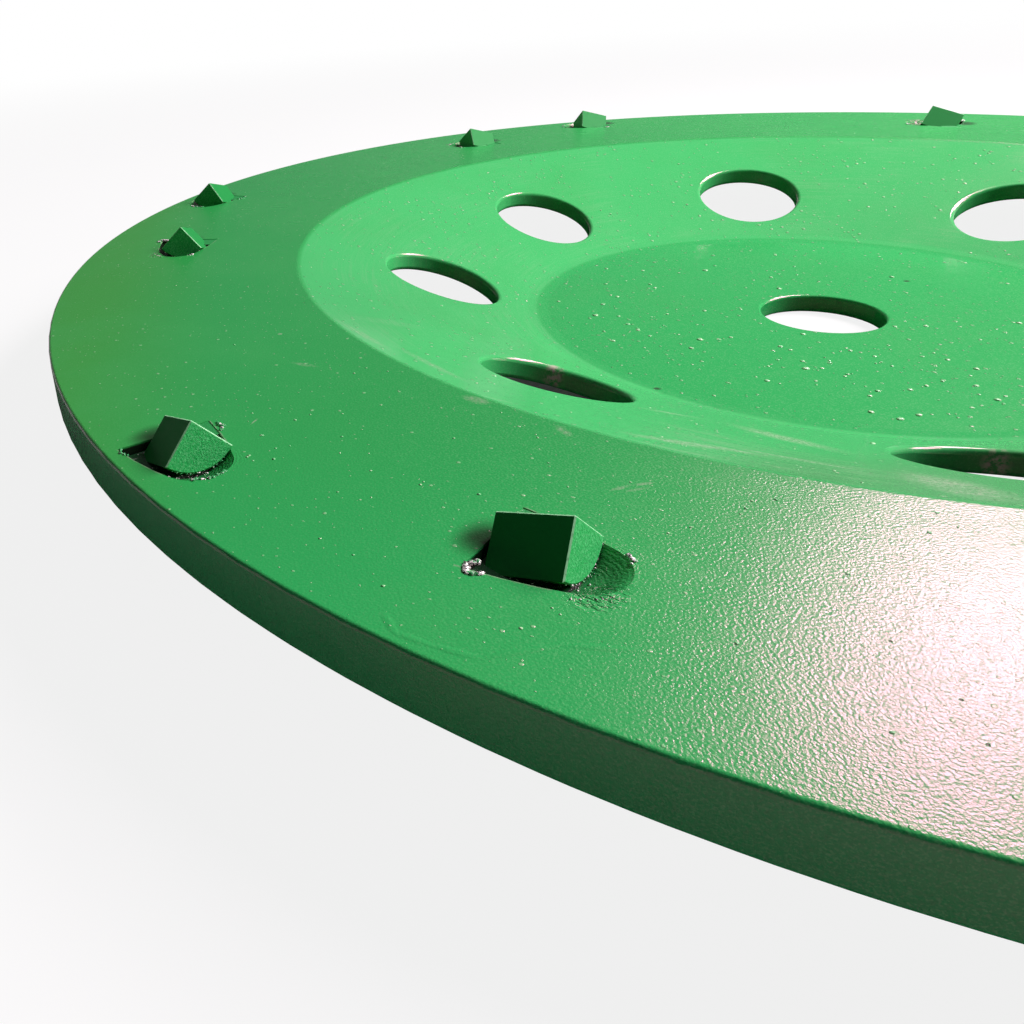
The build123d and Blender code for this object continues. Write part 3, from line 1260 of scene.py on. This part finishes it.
@dataclass
class Blobs:
    """Small uneven blobs that are gathered into the mesh of one piece."""

    draw: random.Random
    fine_from: float = 0.2
    swell: float = 0.45
    swell_turns: float = 1.9
    stretch: Span = (0.75, 1.3)
    phase_reach: float = 50.0

    def __post_init__(self) -> None:
        """Starts an empty mesh."""
        self.shape = bmesh.new()

    def add(self, middle: Vector, radius: float, flat: float) -> None:
        """Adds one blob.

        Args:
            middle: Its middle, in metres.
            radius: Its mean radius, in millimetres.
            flat: Its height as a share of its width.
        """
        rounds = 2 if radius > self.fine_from else 1
        made = bmesh.ops.create_icosphere(self.shape, subdivisions=rounds, radius=radius * MM)
        phase = Vector([self.draw.uniform(0.0, self.phase_reach) for _ in range(3)])
        stretch = Vector((self.draw.uniform(*self.stretch), self.draw.uniform(*self.stretch), flat))
        for vertex in made["verts"]:
            swell = 1.0 + self.swell * noise.noise(vertex.co.normalized() * self.swell_turns + phase)
            vertex.co = Vector(a * b for a, b in zip(vertex.co * swell, stretch)) + middle

    def piece(self, name: str, finish: bpy.types.Material) -> bpy.types.Object:
        """Makes the piece of the blobs so far.

        Args:
            name: Its name.
            finish: Its material.

        Returns:
            Its object.
        """
        mesh = bpy.data.meshes.new(name)
        self.shape.to_mesh(mesh)
        self.shape.free()
        for face in mesh.polygons:
            face.use_smooth = True
        mesh.materials.append(finish)
        piece = bpy.data.objects.new(name, mesh)
        bpy.context.scene.collection.objects.link(piece)
        return piece


@dataclass(frozen=True)
class BeadTrail:
    """Beads of braze along a line beside a cutter: its points, the beads' count and radii."""

    points: tuple[FlatPoint, ...]
    count: int
    least: float
    most: float


@dataclass
class BrazeSpill:
    """Beads and crumbs of braze round one cutter."""

    cutter: Cutter
    trails: tuple[BeadTrail, ...]
    bead_scatter: float = 0.12
    bead_flat: float = 0.7
    crumb_count: int = 30
    crumb_radius: float = 0.15
    crumb_sizes: Span = (0.4, 1.2)
    crumb_off: float = 0.3
    crumb_flat: float = 0.8
    wall_every: int = 3
    arc_turns: Span = (-128.0, -52.0)
    arc_back: Span = (0.0, 0.3)
    wall_turns: Span = (-120.0, -50.0)
    wall_back: Span = (-0.3, 0.4)

    def beads(self, blobs: Blobs, trail: BeadTrail) -> None:
        """Adds the beads of one trail, which lie on the rim's face.

        Args:
            blobs: The blobs to add to.
            trail: The trail.
        """
        draw, scatter = blobs.draw, self.bead_scatter
        spans = len(trail.points) - 1
        for index in range(trail.count):
            along = spans * index / max(1, trail.count - 1)
            start = min(int(along), spans - 1)
            share = along - start
            (x, s), (next_x, next_s) = trail.points[start], trail.points[start + 1]
            outward = x + share * (next_x - x) + draw.uniform(-scatter, scatter)
            back = s + share * (next_s - s) + draw.uniform(-scatter, scatter)
            blobs.add(self.cutter.on_rim(outward, back), draw.uniform(trail.least, trail.most), self.bead_flat)

    def crumbs(self, blobs: Blobs) -> None:
        """Adds the crumbs in the gap under the cutting face's arc, some of them on the pocket's wall.

        Args:
            blobs: The blobs to add to.
        """
        draw = blobs.draw
        for index in range(self.crumb_count):
            radius = self.crumb_radius * draw.uniform(*self.crumb_sizes)
            off = self.crumb_off * radius
            if index % self.wall_every:
                middle = self.cutter.under_arc(draw.uniform(*self.arc_turns), draw.uniform(*self.arc_back), off)
            else:
                middle = self.cutter.on_pocket_wall(draw.uniform(*self.wall_turns), draw.uniform(*self.wall_back), off)
            blobs.add(middle, radius, self.crumb_flat)

    def build(self, metal: bpy.types.Material) -> bpy.types.Object:
        """Makes the spill and rides it on the wheel.

        Args:
            metal: Its finish.

        Returns:
            The spill's object.
        """
        blobs = Blobs(random.Random(self.cutter.seed()))
        for trail in self.trails:
            self.beads(blobs, trail)
        self.crumbs(blobs)
        spill = blobs.piece(f"braze_spill_{self.cutter.row.row.value}_{self.cutter.number}", metal)
        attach(spill, "root")
        return spill


@dataclass(frozen=True)
class NibPatch:
    """A round patch of nibs: its middle, its reach, its count of nibs and their largest radius."""

    x: float
    y: float
    reach: float
    count: int
    most: float


@dataclass
class PaintNibs:
    """The larger dust nibs, which stand out of the plate's paint as small domes."""

    rows: tuple[CutterRow, ...]
    patches: tuple[NibPatch, ...] = (
        NibPatch(0.0, 0.0, 52.0, 110, 0.58),
        NibPatch(-3.0, -33.0, 15.0, 60, 0.46),
        NibPatch(-20.0, -28.0, 9.0, 14, 0.46),
        NibPatch(-30.0, 6.0, 18.0, 16, 0.52),
        NibPatch(-46.0, 16.0, 12.0, 12, 0.52),
        NibPatch(0.0, 0.0, 104.0, 110, 0.40),
        NibPatch(-111.0, -70.0, 8.0, 12, 0.26),
        NibPatch(-80.0, -80.0, 36.0, 60, 0.24),
        NibPatch(0.0, 0.0, 150.0, 170, 0.24),
    )
    seed: int = 11
    least: float = 0.14
    fewer_large: float = 1.5
    flat: float = 0.36
    hub_level: float = 3.7
    hub_face: Span = (12.5, 52.5)
    cone_face: Span = (59.0, 104.5)
    cone_foot: float = 55.9
    cone_slope: float = 0.3373
    rim_face: Span = (108.0, 151.0)
    vent_circle: float = 76.6
    vent_reach: float = 13.5
    vent_turn: float = 29.3
    vent_count: int = 8
    pocket_reach: float = 9.5

    def level(self, x: float, y: float) -> float | None:
        """Finds the height of the plate's front at a place.

        Args:
            x: The place's first coordinate.
            y: Its second coordinate.

        Returns:
            The height, or None where a hole, a pocket or a rounded edge keeps nibs off.
        """
        away = math.hypot(x, y)
        if self.hub_face[0] < away < self.hub_face[1]:
            return self.hub_level
        if self.cone_face[0] < away < self.cone_face[1]:
            if self.beside_middle(x, y, self.vent_circle, self.vent_turn, self.vent_count) < self.vent_reach:
                return None
            return self.hub_level + (away - self.cone_foot) * self.cone_slope
        if not self.rim_face[0] < away < self.rim_face[1]:
            return None
        near = min(self.beside_middle(x, y, row.radius, row.turn, row.count) for row in self.rows)
        return CutterForm.rim_level if near > self.pocket_reach else None

    def beside_middle(self, x: float, y: float, radius: float, turn: float, count: int) -> float:
        """Gives the distance to the nearest of several middles.

        Args:
            x: The place's first coordinate.
            y: Its second coordinate.
            radius: Radius of the circle that the middles stand on.
            turn: Turn of the first middle, in degrees.
            count: Count of middles.

        Returns:
            The distance.
        """
        turns = (math.radians(turn + 360.0 / count * index) for index in range(count))
        return min(math.hypot(x - radius * math.cos(way), y - radius * math.sin(way)) for way in turns)

    def build(self, enamel: bpy.types.Material) -> bpy.types.Object:
        """Makes the nibs and rides them on the wheel.

        Args:
            enamel: Their finish.

        Returns:
            The nibs' object.
        """
        draw = random.Random(self.seed)
        domes = Blobs(draw, fine_from=0.25, swell=0.25, swell_turns=1.5, stretch=(0.8, 1.2))
        for patch in self.patches:
            for _ in range(patch.count):
                away, way = patch.reach * math.sqrt(draw.random()), draw.uniform(0.0, math.tau)
                x, y = patch.x + away * math.cos(way), patch.y + away * math.sin(way)
                radius = self.least + (patch.most - self.least) * draw.random() ** self.fewer_large
                level = self.level(x, y)
                if level is not None:
                    domes.add(Vector((x, y, level)) * MM, radius, self.flat)
        nibs = domes.piece("paint_nibs", enamel)
        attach(nibs, "root")
        return nibs


@dataclass
class CupWheel:
    """The wheel: its rows of cutters and the finish of every piece."""

    outer_row: CutterRow = CutterRow(Row.OUTER, 143.3, 29.3, 7)
    inner_row: CutterRow = CutterRow(Row.INNER, 132.2, 47.8, 3)
    enamel: Enamel = Enamel()
    nib_enamel: NibEnamel = NibEnamel()
    carbide_paint: CutterPaint = CutterPaint("cutter_enamel")
    face_paint: CutterPaint = CutterPaint("cutting_face_enamel")
    # painted shade: the braze in the pockets takes a near-black green
    joint_metal: BrazeMetal = BrazeMetal("braze_in_pocket", 0.80, 1.0, painted=(0.006, 0.070, 0.020, 1.0))
    bare_spill: BrazeMetal = BrazeMetal("bare_braze_spill", 0.38, 0.0)
    painted_spill: BrazeMetal = BrazeMetal("painted_braze_spill", 0.62, 0.0)
    outer_trails: tuple[BeadTrail, ...] = (
        BeadTrail(((2.9, -5.0), (1.6, -5.8), (0.2, -5.9), (-1.1, -5.6)), 17, 0.16, 0.32),
        BeadTrail(((-5.9, 4.4), (-6.6, 5.4), (-6.4, 6.6)), 5, 0.22, 0.42),
        BeadTrail(((6.6, 5.6), (7.2, 6.8), (6.6, 7.6)), 5, 0.18, 0.36),
    )
    inner_trails: tuple[BeadTrail, ...] = (
        BeadTrail(((5.5, 7.1), (6.4, 7.7), (7.2, 7.4), (7.6, 6.5), (7.0, 5.8)), 13, 0.20, 0.42),
        BeadTrail(((-3.4, -4.2), (-3.0, -4.7), (-2.4, -4.9)), 4, 0.16, 0.34),
        BeadTrail(((3.6, -5.2), (5.0, -4.2), (5.8, -2.6)), 6, 0.08, 0.18),
    )

    def dress(self) -> None:
        """Gives every CAD node the finish of its kind."""
        finishes = {
            Piece.PLATE: self.enamel.build((self.outer_row, self.inner_row)),
            Piece.CARBIDE: self.carbide_paint.build(),
            Piece.DIAMOND: self.face_paint.build(),
            Piece.BRAZE: self.joint_metal.build(),
        }
        for name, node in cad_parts.items():
            kind = next(kind for kind in Piece if name.startswith(kind.value))
            if not node.material_slots:
                node.data.materials.append(finishes[kind])
            for slot in node.material_slots:
                slot.material = finishes[kind]
            LOG.info("%s wears %s", name, finishes[kind].name)

    def spill(self) -> None:
        """Adds the braze spills of both rows."""
        rows = (
            (self.outer_row, self.outer_trails, self.painted_spill.build()),
            (self.inner_row, self.inner_trails, self.bare_spill.build()),
        )
        for row, trails, metal in rows:
            for number in range(1, row.count + 1):
                made = BrazeSpill(Cutter(row, number), trails).build(metal)
                LOG.info("%s added", made.name)

    def build(self) -> None:
        """Dresses the CAD nodes and adds the braze spills and the paint's nibs."""
        self.dress()
        self.spill()
        nibs = PaintNibs((self.outer_row, self.inner_row)).build(self.nib_enamel.build())
        LOG.info("%s added", nibs.name)


def main() -> None:
    """Builds the scene in order and reports each piece."""
    logging.basicConfig(level=logging.INFO, format="%(name)s: %(message)s")
    bpy.context.scene.view_settings.view_transform = "Standard"
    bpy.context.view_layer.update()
    PhotoCamera().build()
    Studio().build()
    CupWheel().build()


if __name__ == "__main__":
    main()
